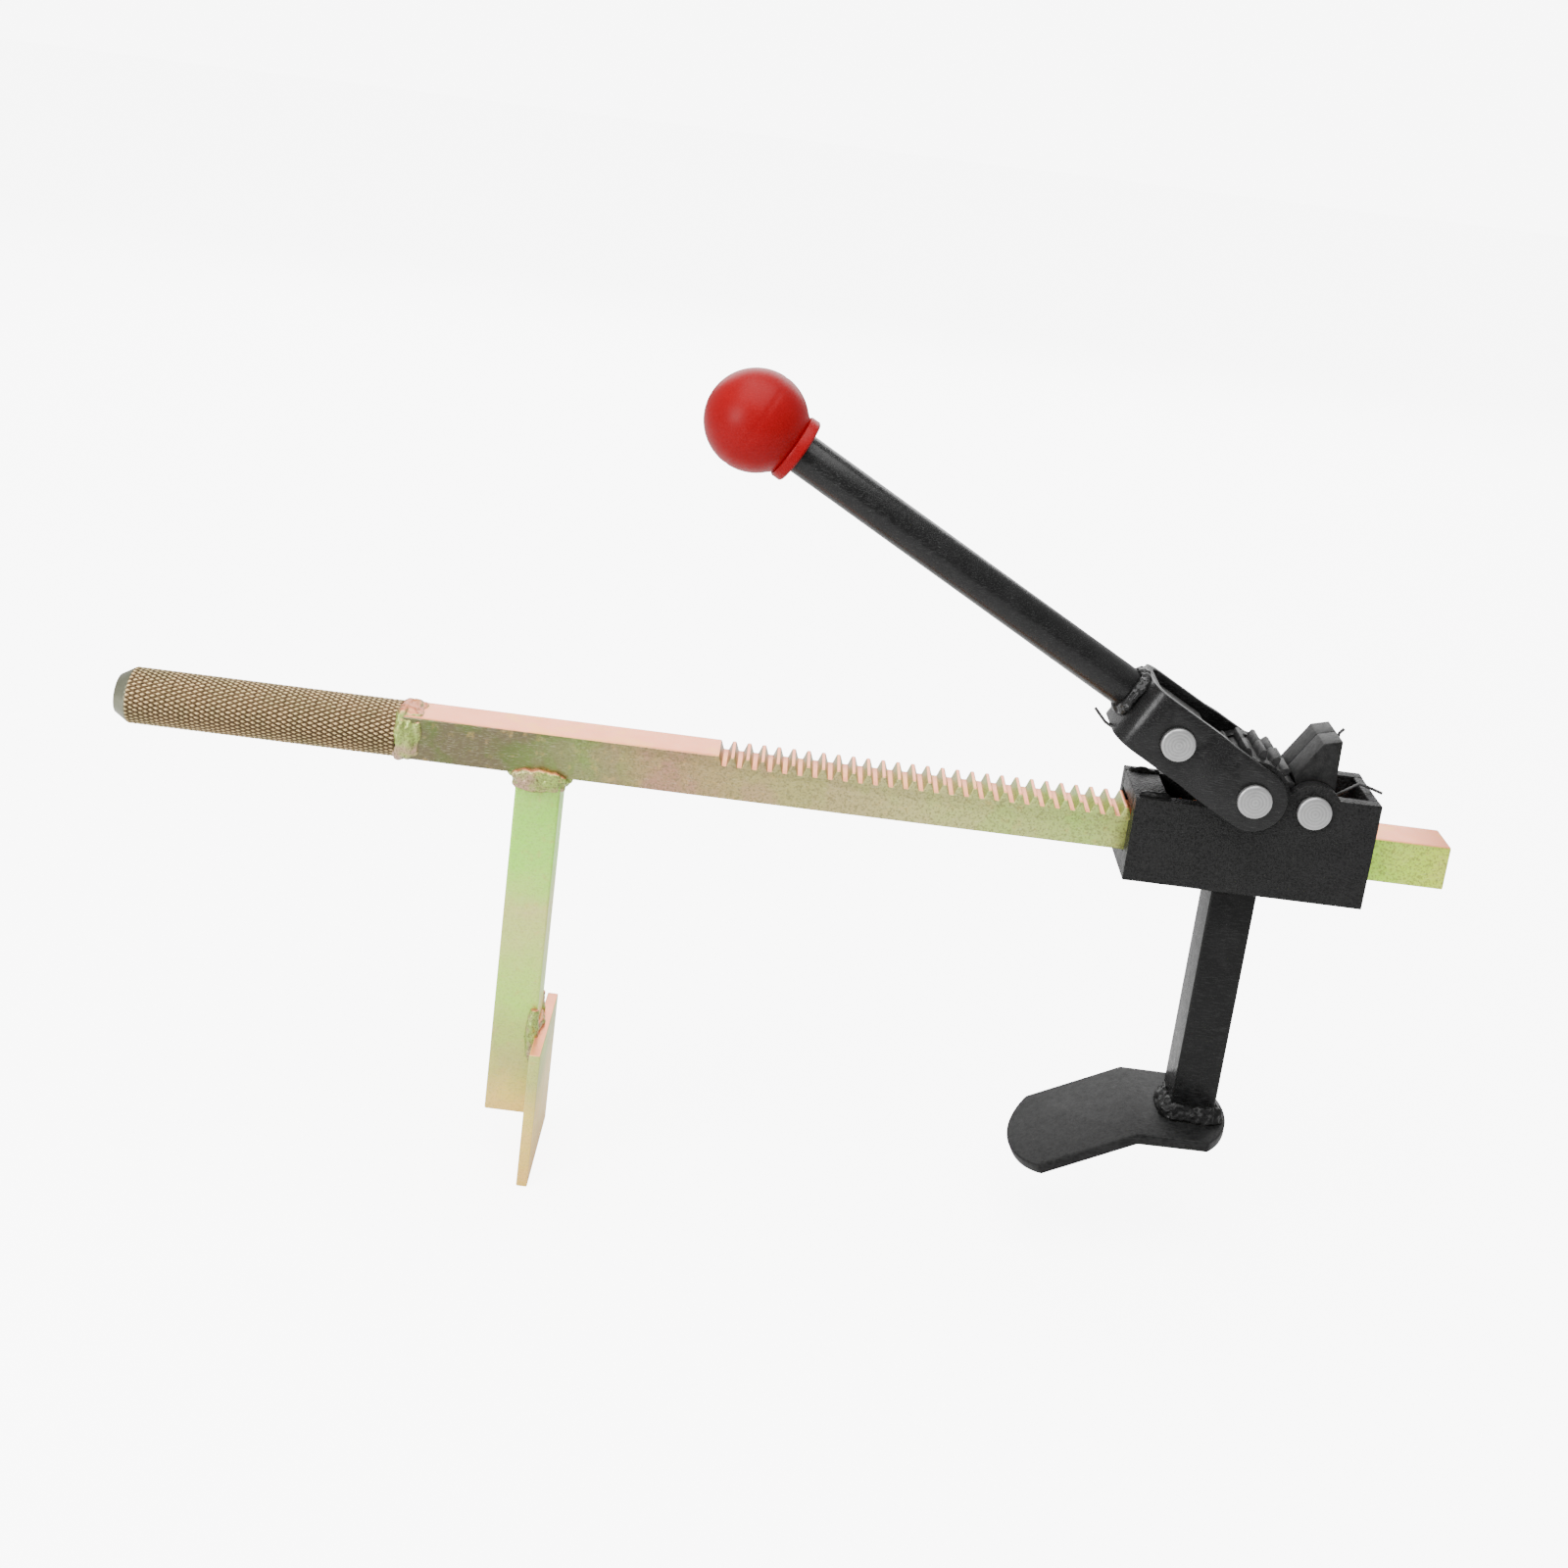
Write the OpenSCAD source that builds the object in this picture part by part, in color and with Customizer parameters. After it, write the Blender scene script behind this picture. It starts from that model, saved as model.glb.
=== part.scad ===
// Ratchet puller for floor boards: a toothed bar with a fixed hook, and a head that a lever
// walks along the teeth. X runs along the bar from the outer end of the grip, Y goes away
// from the pin heads, Z is up. The origin is the centre of the grip's outer end.

/* [Rack bar] */
// Side of the square bar
bar_side = 16; // [15.5:0.25:16.5]
// Free end of the bar
bar_end_x = 471; // [465:1:480]
// Module of the rack and the pinion
tooth_module = 1.7; // [1.68:0.01:1.72]
// Height of a rack tooth
tooth_height = 3.5; // [3.5:0.1:3.7]
// Thickness of a rack tooth at the pitch line
tooth_thickness = 2.5; // [2.3:0.05:2.55]
// Tooth gaps to the left of the pinion
gaps_left = 34; // [30:1:34]
// Tooth gaps to the right of the pinion
gaps_right = 5; // [4:1:6]

/* [Grip] */
// Diameter of the knurled grip
grip_d = 20; // [18:1:21]
// Length of the grip
grip_len = 100; // [90:0.5:105]
// Length of the chamfer at the grip's outer end
grip_chamfer = 5; // [2:0.5:5]
// Depth of the chamfer at the grip's outer end
grip_chamfer_depth = 3; // [1:0.5:5]
// Length of the weld between grip and bar
grip_weld_len = 9.5; // [6:0.5:12]

/* [Hook] */
// Left face of the hook's post
hook_post_x = 143.4; // [135:0.2:150]
// Length of the post below the bar
hook_post_len = 132.5; // [120:0.5:140]
// Thickness of the hook and foot plates
plate_t = 4; // [3:0.5:5]
// Width of the hook and foot plates
plate_w = 45; // [40:1:50]
// Top edge of the hook plate
hook_plate_top = -108; // [-115:1:-100]
// Bottom edge of the hook plate
hook_plate_bottom = -161; // [-170:1:-150]

/* [Housing] */
// Left end of the housing
housing_x = 358; // [356:0.5:359.5]
// Length of the housing
housing_len = 84; // [80:1:88]
// Outside width of the housing
housing_w = 30; // [29.6:0.1:30.2]
// Width of the space for the pinion and the pawls
pocket_w = 21; // [20.8:0.1:21.4]
// Height of the low wall at the left
wall_low = 14.8; // [14:0.2:15]
// Height of the high wall at the right
wall_high = 22.8; // [22:0.2:23]
// Underside of the housing
housing_bottom = -16; // [-18:0.5:-15]
// Play between the bar and the housing
bar_play = 0.35; // [0.3:0.05:0.5]
// Length of the bridge over the rack at the left
bridge_len = 12; // [10:0.5:13]
// Thickness of the plate that closes the right end
end_plate_t = 3.5; // [3:0.5:4]

/* [Foot] */
// Left face of the foot's post
foot_post_x = 391.5; // [389:0.5:395]
// Upper face of the foot plate
foot_top = -108.7; // [-115:0.1:-100]
// Where the foot plate is bent
foot_bend_x = 378; // [376:0.5:381]
// Slope of the bent end
foot_slope = 27.4; // [20:0.2:32]
// Length of the bent end along the slope
foot_slope_len = 47.3; // [40:0.1:50]
// Right tip of the foot plate
foot_tip_x = 413.2; // [412:0.1:416]
// Radius of the two rounded ends
foot_end_r = 31; // [28:1:36]

/* [Pinion and pawls] */
// Teeth of the pinion
pinion_teeth = 17; // [17:1:17]
// Place of the pinion along the bar
gear_x = 397; // [396.5:0.1:397.5]
// Thickness of one plate of the pinion and of the pawls
lamina_t = 9.9; // [9.6:0.1:10]
// Gap between the two plates of a pair
lamina_gap = 0.1; // [0.1:0.05:0.3]
// Place of the hold pawl's pin along the bar
hold_pin_x = 419; // [418.5:0.1:419.5]
// Height of the hold pawl's pin
hold_pin_z = 17.7; // [17.2:0.1:18]

/* [Lever] */
// Slope of the lever above the bar
lever_angle = 29.2; // [20:0.1:34]
// Distance from the pinion's pin to the drive pawl's pin
drive_reach = 32.7; // [32.4:0.1:33]
// Half the height of the fork's strip
fork_half_h = 11.4; // [11:0.1:11.5]
// Thickness of the fork's strip
fork_t = 3; // [2.5:0.1:3]
// Distance from the pinion's pin to the fork's outer end
fork_reach = 50.8; // [50.8:0.1:52]
// Diameter of the lever's rod
rod_d = 14.6; // [13:0.1:15]
// How far the rod sits above the line through the pins
rod_rise = 2.4; // [2:0.1:4]
// Distance from the pinion's pin to the middle of the knob
knob_reach = 213.5; // [180:0.1:230]
// Diameter of the ball knob
knob_d = 35.8; // [33:0.1:38]

/* [Pins and springs] */
// Diameter of the pin heads
head_d = 12; // [11:0.5:12.5]
// Height of the pin heads
head_h = 2; // [1.5:0.1:2.2]
// Diameter of the pinion's pin
gear_pin_d = 9; // [8.5:0.1:9]
// Diameter of the pawl pins
pawl_pin_d = 8; // [7.5:0.1:8]
// Diameter of the spring wire
wire_d = 1.1; // [1:0.1:1.2]

/* [Hidden] */

fine = 64;
cut = 1;
half = bar_side / 2;
zinc = "khaki";
black = "dimgray";

// Gear sizes
pressure_angle = 20;
pitch = PI * tooth_module;
addendum = 1.4;
rack_addendum = 1.9;
backlash = 0.5;
pitch_r = tooth_module * pinion_teeth / 2;
rack_line = half - rack_addendum;
gear_z = rack_line + pitch_r;
tip_r = pitch_r + addendum;
root_r = gear_z - half - 0.2;
base_r = pitch_r * cos(pressure_angle);
pinion_tooth = pitch - tooth_thickness - backlash;
pinion_hub_r = 10.5;

// Running clearances
run_play = 0.06;
face_play = 0.1;

// Fork plan, in the lever's own frame: -X towards the knob
fork_wide = housing_w / 2 + 0.4;
fork_narrow = 12.8;
joggle_start = 17;
joggle_end = 23;
fork_corner_r = 8;

// Pins: where each bears on the outside of the metal
gear_pin_face = fork_wide + fork_t + face_play;
drive_pin_face = fork_narrow + fork_t;
hold_pin_face = housing_w / 2;
clip_t = 0.9;
clip_depth = 0.9;
pin_tail = 1.8;

// Springs sit between the two plates of a pawl
coil_len = 3.3;
relief_depth = 1.75;
relief_r = 8.4;
hold_hub_r = 5.9;
drive_hub_r = 7.5;
coil_r = pawl_pin_d / 2 + wire_d / 2 + 0.3;
clear_r = tip_r + 0.2;

// Everything on the lever is drawn with the pinion's pin at the origin and the knob towards -X
module on_lever() {
  translate([gear_x, 0, gear_z])
    rotate([0, lever_angle, 0])
      children();
}

// Extrudes an outline in X and Z from y0 to y1
module along_y(y0, y1) {
  translate([0, y1, 0])
    rotate([90, 0, 0])
      linear_extrude(y1 - y0)
        children();
}

// Square bar section with rounded edges
module bar_section(side, edge_r) {
  square([side - 2 * edge_r, side], center = true);
  square([side, side - 2 * edge_r], center = true);
  for (sx = [-1, 1], sy = [-1, 1])
    translate([sx * (side / 2 - edge_r), sy * (side / 2 - edge_r)])
      circle(r = edge_r, $fn = 24);
}

// Weld bead of triangular section along X or Y: leg_a stands off sideways, leg_b up or down
module bead(length, leg_a, leg_b) {
  along_y(-length / 2, length / 2)
    polygon([[0, 0], [leg_a, 0], [0.45 * leg_a, 0.4 * leg_b], [0, leg_b]]);
}

// Weld beads round the four sides of a square post, growing up from z = 0
module post_beads(leg_a, leg_b) {
  for (turn = [0, 90, 180, 270])
    rotate([0, 0, turn])
      translate([half, 0, 0])
        bead(bar_side, leg_a, leg_b);
}

// ---- Toothed bar with its grip and hook ----

module tooth_gap() {
  gap_mid = pitch - tooth_thickness;
  gap_top = gap_mid + 2 * (rack_addendum + cut) * tan(pressure_angle);
  gap_floor = gap_mid - 2 * (tooth_height - rack_addendum) * tan(pressure_angle);
  along_y(-half - cut, half + cut)
    polygon([[-gap_floor / 2, half - tooth_height], [gap_floor / 2, half - tooth_height],
      [gap_top / 2, half + cut], [-gap_top / 2, half + cut]]);
}

module rack_bar() {
  color(zinc)
    difference() {
      translate([grip_len, 0, 0])
        rotate([0, 90, 0])
          linear_extrude(bar_end_x - grip_len)
            bar_section(bar_side, 0.9);
      for (i = [-gaps_left : gaps_right])
        translate([gear_x + i * pitch, 0, 0])
          tooth_gap();
    }
}

module grip() {
  color("tan")
    rotate([0, 90, 0])
      rotate_extrude($fn = fine)
        polygon([[0, 0], [grip_d / 2 - grip_chamfer_depth, 0], [grip_d / 2, grip_chamfer],
          [grip_d / 2, grip_len], [0, grip_len]]);
}

module grip_weld() {
  color(zinc)
    difference() {
      translate([grip_len, 0, 0])
        rotate([0, 90, 0])
          rotate_extrude($fn = fine)
            polygon([[0, 0], [grip_d / 2, 0], [grip_d / 2 + 1.6, 3],
              [grip_d / 2 - 1.4, grip_weld_len], [0, grip_weld_len]]);
      translate([grip_len - cut, 0, 0])
        rotate([0, 90, 0])
          linear_extrude(grip_weld_len + 2 * cut)
            bar_section(bar_side, 0.9);
    }
}

module hook_post() {
  color(zinc)
    translate([hook_post_x + half, 0, -half - hook_post_len])
      linear_extrude(hook_post_len)
        bar_section(bar_side, 0.9);
}

module hook_post_weld() {
  color(zinc)
    for (side = [0, 180])
      translate([hook_post_x + half, 0, -half])
        rotate([0, 0, side])
          mirror([0, 0, 1])
            translate([half, 0, 0])
              bead(bar_side - 1, 4, 7);
}

module hook_plate() {
  color(zinc)
    translate([hook_post_x + bar_side, -plate_w / 2, hook_plate_bottom])
      cube([plate_t, plate_w, hook_plate_top - hook_plate_bottom]);
}

module hook_plate_weld() {
  bead_len = 20;
  color(zinc)
    for (side = [-1, 1])
      translate([hook_post_x + bar_side, side * half, hook_plate_top - bead_len + 3])
        linear_extrude(bead_len)
          polygon([[0, 0], [0, side * 4], [-3, side * 3], [-5.5, 0]]);
}

// ---- Head: housing, foot and their pins ----

// Side outline of both walls, with the ears for the pins
module wall_outline() {
  step_x = gear_x + 8;
  translate([housing_x, housing_bottom])
    square([housing_len, wall_low - housing_bottom]);
  translate([step_x, housing_bottom])
    square([housing_x + housing_len - step_x, wall_high - housing_bottom]);
  translate([gear_x, gear_z])
    circle(r = 13, $fn = fine);
  translate([hold_pin_x, hold_pin_z])
    circle(r = 9.8, $fn = fine);
}

module housing_channel() {
  slot_half = half + bar_play;
  slot_top = half - tooth_height - 0.9;
  pocket_top = gear_z + tip_r + cut;
  color(black)
    difference() {
      along_y(-housing_w / 2, housing_w / 2)
        wall_outline();
      translate([housing_x - cut, -slot_half, -slot_half])
        cube([housing_len + 2 * cut, 2 * slot_half, 2 * slot_half]);
      translate([housing_x - cut, -pocket_w / 2, slot_top])
        cube([housing_len + 2 * cut, pocket_w, pocket_top - slot_top]);
      translate([gear_x, 0, gear_z])
        rotate([90, 0, 0])
          cylinder(h = housing_w + 2 * cut, d = gear_pin_d + 0.04, center = true, $fn = fine);
      translate([hold_pin_x, 0, hold_pin_z])
        rotate([90, 0, 0])
          cylinder(h = housing_w + 2 * cut, d = pawl_pin_d + 0.04, center = true, $fn = fine);
    }
}

module front_bridge() {
  underside = half + bar_play;
  color(black)
    translate([housing_x, -pocket_w / 2, underside])
      cube([bridge_len, pocket_w, wall_low - underside]);
}

module front_bridge_weld() {
  color(black)
    intersection() {
      translate([housing_x + 0.6, -pocket_w / 2 - 0.6, wall_low - 0.4])
        rotate([0, 90, 0])
          cylinder(h = bridge_len - 1, r = 1.9, $fn = 32);
      translate([housing_x, -housing_w / 2, wall_low])
        cube([bridge_len, housing_w, 3]);
    }
}

module end_plate() {
  underside = half + bar_play;
  color(black)
    translate([housing_x + housing_len - end_plate_t, -pocket_w / 2, underside])
      cube([end_plate_t, pocket_w, wall_high - underside]);
}

module foot_post() {
  color(black)
    translate([foot_post_x + half, 0, foot_top])
      linear_extrude(housing_bottom - foot_top)
        bar_section(bar_side, 0.9);
}

module foot_post_weld() {
  color(black)
    translate([foot_post_x + half, 0, housing_bottom])
      mirror([0, 0, 1])
        post_beads(3, 3.5);
}

// Plate outline with one rounded end at x = length
module rounded_end(length) {
  corner_x = length - foot_end_r + sqrt(pow(foot_end_r, 2) - pow(plate_w / 2, 2));
  translate([0, -plate_w / 2])
    square([corner_x, plate_w]);
  intersection() {
    translate([length - foot_end_r, 0])
      circle(r = foot_end_r, $fn = 96);
    translate([corner_x - 0.01, -plate_w / 2])
      square([length, plate_w]);
  }
}

module foot_plate() {
  color(black)
    translate([foot_bend_x, 0, foot_top]) {
      translate([0, 0, -plate_t])
        linear_extrude(plate_t)
          rounded_end(foot_tip_x - foot_bend_x);
      rotate([0, -foot_slope, 0])
        translate([0, 0, -plate_t])
          linear_extrude(plate_t)
            mirror([1, 0])
              rounded_end(foot_slope_len);
    }
}

module foot_plate_weld() {
  color(black)
    translate([foot_post_x + half, 0, foot_top])
      post_beads(4.4, 6.5);
}

// Headed pin along Y: bearing is the distance from the middle to the head's underside
module headed_pin(pin_d, bearing) {
  groove_start = bearing + 0.05;
  groove_end = groove_start + clip_t + 0.1;
  tail_end = groove_end + pin_tail;
  rotate([-90, 0, 0])
    rotate_extrude($fn = fine)
      polygon([[0, -bearing - head_h], [head_d / 2 - 0.5, -bearing - head_h],
        [head_d / 2, -bearing - head_h + 0.5], [head_d / 2, -bearing], [pin_d / 2, -bearing],
        [pin_d / 2, groove_start], [pin_d / 2 - clip_depth, groove_start],
        [pin_d / 2 - clip_depth, groove_end], [pin_d / 2, groove_end],
        [pin_d / 2, tail_end - 0.6], [pin_d / 2 - 0.6, tail_end], [0, tail_end]]);
}

// Snap ring in the groove of a headed pin, open downwards
module snap_ring(pin_d, bearing) {
  groove_r = pin_d / 2 - clip_depth;
  translate([0, bearing + 0.1, 0])
    rotate([-90, 0, 0])
      linear_extrude(clip_t)
        difference() {
          circle(r = pin_d / 2 + 3.2, $fn = fine);
          circle(r = groove_r + 0.03, $fn = fine);
          translate([-groove_r * 0.8, 0])
            square([groove_r * 1.6, pin_d]);
        }
}

module gear_pin() {
  color("silver")
    translate([gear_x, 0, gear_z])
      headed_pin(gear_pin_d, gear_pin_face);
}

module gear_pin_clip() {
  color("dimgray")
    translate([gear_x, 0, gear_z])
      snap_ring(gear_pin_d, gear_pin_face);
}

module hold_pawl_pin() {
  color("silver")
    translate([hold_pin_x, 0, hold_pin_z])
      headed_pin(pawl_pin_d, hold_pin_face);
}

module hold_pawl_pin_clip() {
  color("dimgray")
    translate([hold_pin_x, 0, hold_pin_z])
      snap_ring(pawl_pin_d, hold_pin_face);
}

// ---- Pinion ----

function involute(a) = tan(a) * 180 / PI - a;

// Half the angle that a tooth takes up at radius r
function tooth_half_angle(r) =
  pinion_tooth / pitch_r * 90 / PI + involute(pressure_angle) - involute(acos(min(1, base_r / r)));

function polar(r, a) = [r * cos(a), r * sin(a)];

module pinion_outline() {
  flank_steps = 4;
  flank_r = [for (i = [0 : flank_steps]) base_r + (tip_r - base_r) * i / flank_steps];
  root_half = tooth_half_angle(base_r);
  rising = [for (r = flank_r) polar(r, -tooth_half_angle(r))];
  falling = [for (i = [flank_steps : -1 : 0]) polar(flank_r[i], tooth_half_angle(flank_r[i]))];
  tooth = concat([polar(root_r - 1, -root_half)], rising, falling, [polar(root_r - 1, root_half)]);
  circle(r = root_r, $fn = fine);
  for (i = [0 : pinion_teeth - 1])
    rotate(-90 + i * 360 / pinion_teeth)
      polygon(tooth);
}

module pinion_plate(side) {
  y0 = side > 0 ? lamina_gap / 2 : -lamina_gap / 2 - lamina_t;
  translate([gear_x, 0, gear_z])
    along_y(y0, y0 + lamina_t)
      difference() {
        pinion_outline();
        circle(d = gear_pin_d + 2 * run_play, $fn = fine);
      }
}

module pinion_near_plate() {
  color("slategray")
    pinion_plate(-1);
}

module pinion_far_plate() {
  color("slategray")
    pinion_plate(1);
}

// ---- Lever ----

// Outer block of the fork, or the space inside it: inset is the strip's thickness taken off
module fork_block(inset, height) {
  wide = fork_wide + fork_t - inset;
  narrow = fork_narrow + fork_t - inset;
  corner_r = fork_corner_r - inset;
  corner_y = fork_narrow + fork_t - fork_corner_r;
  straight_end = fork_reach - fork_corner_r;
  back = fork_half_h + inset;
  translate([0, 0, -height / 2]) {
    linear_extrude(height)
      polygon([[back, -wide], [-joggle_start, -wide], [-joggle_end, -narrow],
        [-straight_end, -narrow], [-straight_end, narrow], [-joggle_end, narrow],
        [-joggle_start, wide], [back, wide]]);
    translate([-straight_end - corner_r, -corner_y, 0])
      cube([corner_r + 1, 2 * corner_y, height]);
    for (side = [-1, 1])
      translate([-straight_end, side * corner_y, 0])
        cylinder(h = height, r = corner_r, $fn = fine);
  }
}

module fork() {
  color(black)
    on_lever()
      difference() {
        intersection() {
          difference() {
            fork_block(0, 2 * fork_half_h);
            fork_block(fork_t, 2 * fork_half_h + 2 * cut);
          }
          union() {
            translate([-fork_reach - cut, -20, -fork_half_h])
              cube([fork_reach + cut, 40, 2 * fork_half_h]);
            rotate([90, 0, 0])
              cylinder(h = 40, r = fork_half_h, center = true, $fn = fine);
          }
        }
        rotate([90, 0, 0])
          cylinder(h = 40, d = gear_pin_d + 2 * run_play, center = true, $fn = fine);
        translate([-drive_reach, 0, 0])
          rotate([90, 0, 0])
            cylinder(h = 40, d = pawl_pin_d + 0.04, center = true, $fn = fine);
      }
}

// Turns a shape standing on z = 0 so that it grows from the fork towards the knob
module along_rod(from) {
  on_lever()
    translate([-from, 0, rod_rise])
      rotate([0, -90, 0])
        children();
}

module lever_rod() {
  color(black)
    along_rod(fork_reach)
      cylinder(h = knob_reach - fork_reach, d = rod_d, $fn = fine);
}

module rod_weld() {
  inner_r = rod_d / 2 + 0.01;
  color(black)
    along_rod(fork_reach)
      rotate_extrude($fn = fine)
        polygon([[inner_r, 0], [inner_r + 2.9, 0], [inner_r + 2.2, 2.4], [inner_r, 4]]);
}

module knob() {
  collar_far = 18.6;
  collar_r = 12;
  color("firebrick")
    along_rod(knob_reach)
      difference() {
        union() {
          sphere(d = knob_d, $fn = 96);
          translate([0, 0, -collar_far])
            cylinder(h = 6, r = collar_r, $fn = fine);
        }
        translate([0, 0, -collar_far - cut])
          cylinder(h = collar_far + cut + 0.5, d = rod_d + 0.06, $fn = fine);
      }
}

module drive_pawl_pin() {
  color("silver")
    on_lever()
      translate([-drive_reach, 0, 0])
        headed_pin(pawl_pin_d, drive_pin_face);
}

module drive_pawl_pin_clip() {
  color("dimgray")
    on_lever()
      translate([-drive_reach, 0, 0])
        snap_ring(pawl_pin_d, drive_pin_face);
}

// ---- Pawls ----

// One of a pawl's two equal plates: hub round the pin, outline, and room for pinion and spring
module pawl_plate(side, pin, hub_r, outline, gear) {
  y0 = side > 0 ? lamina_gap / 2 : -lamina_gap / 2 - lamina_t;
  relief_y = side > 0 ? -cut : -relief_depth;
  difference() {
    union() {
      translate([pin[0], 0, pin[1]])
        along_y(y0, y0 + lamina_t)
          circle(r = hub_r, $fn = fine);
      along_y(y0, y0 + lamina_t)
        translate(pin)
          polygon(outline);
    }
    translate([gear[0], 0, gear[1]])
      rotate([90, 0, 0])
        cylinder(h = 30, r = clear_r, center = true, $fn = fine);
    translate([pin[0], 0, pin[1]])
      rotate([90, 0, 0])
        cylinder(h = 30, d = pawl_pin_d + 2 * run_play, center = true, $fn = fine);
    translate([pin[0], 0, pin[1]])
      along_y(relief_y, relief_y + relief_depth + cut)
        circle(r = relief_r, $fn = fine);
  }
}

// Drive pawl in the lever's frame, drawn from its pin: the toe reaches down beside the pinion
drive_outline = [[-8.6, 8.4], [8.4, 8.4], [15, 2], [18.8, -6.6], [18, -8.4], [10.4, -8.2],
  [-1.6, -7.3]];

// Hold pawl, drawn from its pin: the toe lies against the pinion, the tall back is the thumb lift
hold_outline = [[-8.9, 8.2], [0.5, 23.3], [6.8, 25], [7.1, 13.1], [7.6, 4.7], [5.2, -1.5],
  [-1, -2]];

module drive_pawl_near_plate() {
  color("dimgray")
    on_lever()
      pawl_plate(-1, [-drive_reach, 0], drive_hub_r, drive_outline, [0, 0]);
}

module drive_pawl_far_plate() {
  color("dimgray")
    on_lever()
      pawl_plate(1, [-drive_reach, 0], drive_hub_r, drive_outline, [0, 0]);
}

module hold_pawl_near_plate() {
  color("dimgray")
    pawl_plate(-1, [hold_pin_x, hold_pin_z], hold_hub_r, hold_outline, [gear_x, gear_z]);
}

module hold_pawl_far_plate() {
  color("dimgray")
    pawl_plate(1, [hold_pin_x, hold_pin_z], hold_hub_r, hold_outline, [gear_x, gear_z]);
}

// Outline of a bent spring leg: straight runs through a list of points, round at every bend
module leg_outline(points) {
  for (i = [0 : len(points) - 2]) {
    run = points[i + 1] - points[i];
    translate(points[i])
      rotate(atan2(run[1], run[0]))
        translate([0, -wire_d / 2])
          square([norm(run), wire_d]);
  }
  for (i = [1 : len(points) - 2])
    translate(points[i])
      circle(d = wire_d, $fn = 16);
}

// Closed turns of a torsion spring round a pin, with a leg at each end of the coil
module torsion_spring(pin, far_leg, near_leg) {
  leg_y = coil_len / 2 - wire_d;
  difference() {
    union() {
      translate([pin[0], 0, pin[1]])
        rotate([90, 0, 0])
          cylinder(h = coil_len, r = coil_r + wire_d / 2, center = true, $fn = fine);
      along_y(leg_y, leg_y + wire_d)
        leg_outline(far_leg);
      along_y(-leg_y - wire_d, -leg_y)
        leg_outline(near_leg);
    }
    translate([pin[0], 0, pin[1]])
      rotate([90, 0, 0])
        cylinder(h = coil_len + cut, r = coil_r - wire_d / 2, center = true, $fn = fine);
  }
}

module drive_pawl_spring() {
  pin_x = -drive_reach;
  bridge_in = fork_t - fork_reach;
  under = fork_half_h + 0.8;
  color("gray")
    on_lever()
      torsion_spring([pin_x, 0],
        [[pin_x - 2.4, -coil_r + 0.5], [bridge_in + 2.2, -under + 1.8], [bridge_in + 0.4, -under],
          [-fork_reach - 0.8, -under], [-fork_reach - 6.8, -under + 2]],
        [[pin_x + 1, -coil_r + 0.2], [pin_x + 3, -9.4], [pin_x + 5.8, -11.4], [pin_x + 5.3, -14.6]]);
}

module hold_pawl_spring() {
  px = hold_pin_x;
  pz = hold_pin_z;
  color("gray")
    torsion_spring([px, pz],
      [[px + coil_r - 0.5, pz + 0.1], [px + 8.6, pz + 2.5], [px + 8.3, pz + 24], [px + 9.8, pz + 25.9]],
      [[px + 2.6, pz - coil_r + 0.8], [px + 18.2, pz + 7.2], [px + 21, pz + 6.5], [px + 26.6, pz + 4.7]]);
}

rack_bar();
grip();
grip_weld();
hook_post();
hook_post_weld();
hook_plate();
hook_plate_weld();
housing_channel();
front_bridge();
front_bridge_weld();
end_plate();
foot_post();
foot_post_weld();
foot_plate();
foot_plate_weld();
gear_pin();
gear_pin_clip();
hold_pawl_pin();
hold_pawl_pin_clip();
pinion_near_plate();
pinion_far_plate();
fork();
lever_rod();
rod_weld();
knob();
drive_pawl_pin();
drive_pawl_pin_clip();
drive_pawl_near_plate();
drive_pawl_far_plate();
drive_pawl_spring();
hold_pawl_near_plate();
hold_pawl_far_plate();
hold_pawl_spring();
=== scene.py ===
import math

import bpy
from mathutils import Euler, Matrix, Vector


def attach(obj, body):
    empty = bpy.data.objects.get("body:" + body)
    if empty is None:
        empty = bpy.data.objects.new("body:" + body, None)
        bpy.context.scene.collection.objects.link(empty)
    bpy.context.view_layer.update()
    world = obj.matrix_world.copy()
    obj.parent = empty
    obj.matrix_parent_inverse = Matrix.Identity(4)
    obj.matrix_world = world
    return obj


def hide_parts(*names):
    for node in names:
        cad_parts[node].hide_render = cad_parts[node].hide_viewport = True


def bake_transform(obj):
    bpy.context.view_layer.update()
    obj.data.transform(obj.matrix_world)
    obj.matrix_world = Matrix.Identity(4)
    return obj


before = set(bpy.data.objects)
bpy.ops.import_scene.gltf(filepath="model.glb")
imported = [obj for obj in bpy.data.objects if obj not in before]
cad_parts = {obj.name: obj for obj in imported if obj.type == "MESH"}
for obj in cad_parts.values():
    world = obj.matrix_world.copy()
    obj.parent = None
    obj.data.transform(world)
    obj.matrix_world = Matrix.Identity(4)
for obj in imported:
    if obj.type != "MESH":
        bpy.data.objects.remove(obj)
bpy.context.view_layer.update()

MM = 0.001


def pick(obj):
    """Makes obj the only selected piece."""
    bpy.ops.object.select_all(action="DESELECT")
    obj.select_set(True)
    bpy.context.view_layer.objects.active = obj


def round_edges(obj, width_mm, segments=2, sharper_than=32):
    """Breaks the sharp edges of obj by a small round and shades it smooth between them."""
    pick(obj)
    bevel = obj.modifiers.new("broken_edges", "BEVEL")
    bevel.width = width_mm * MM
    bevel.segments = segments
    bevel.limit_method = "ANGLE"
    bevel.angle_limit = math.radians(sharper_than)
    bevel.miter_outer = "MITER_ARC"
    bpy.ops.object.modifier_apply(modifier=bevel.name)
    bpy.ops.object.shade_smooth_by_angle(angle=math.radians(38))


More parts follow.
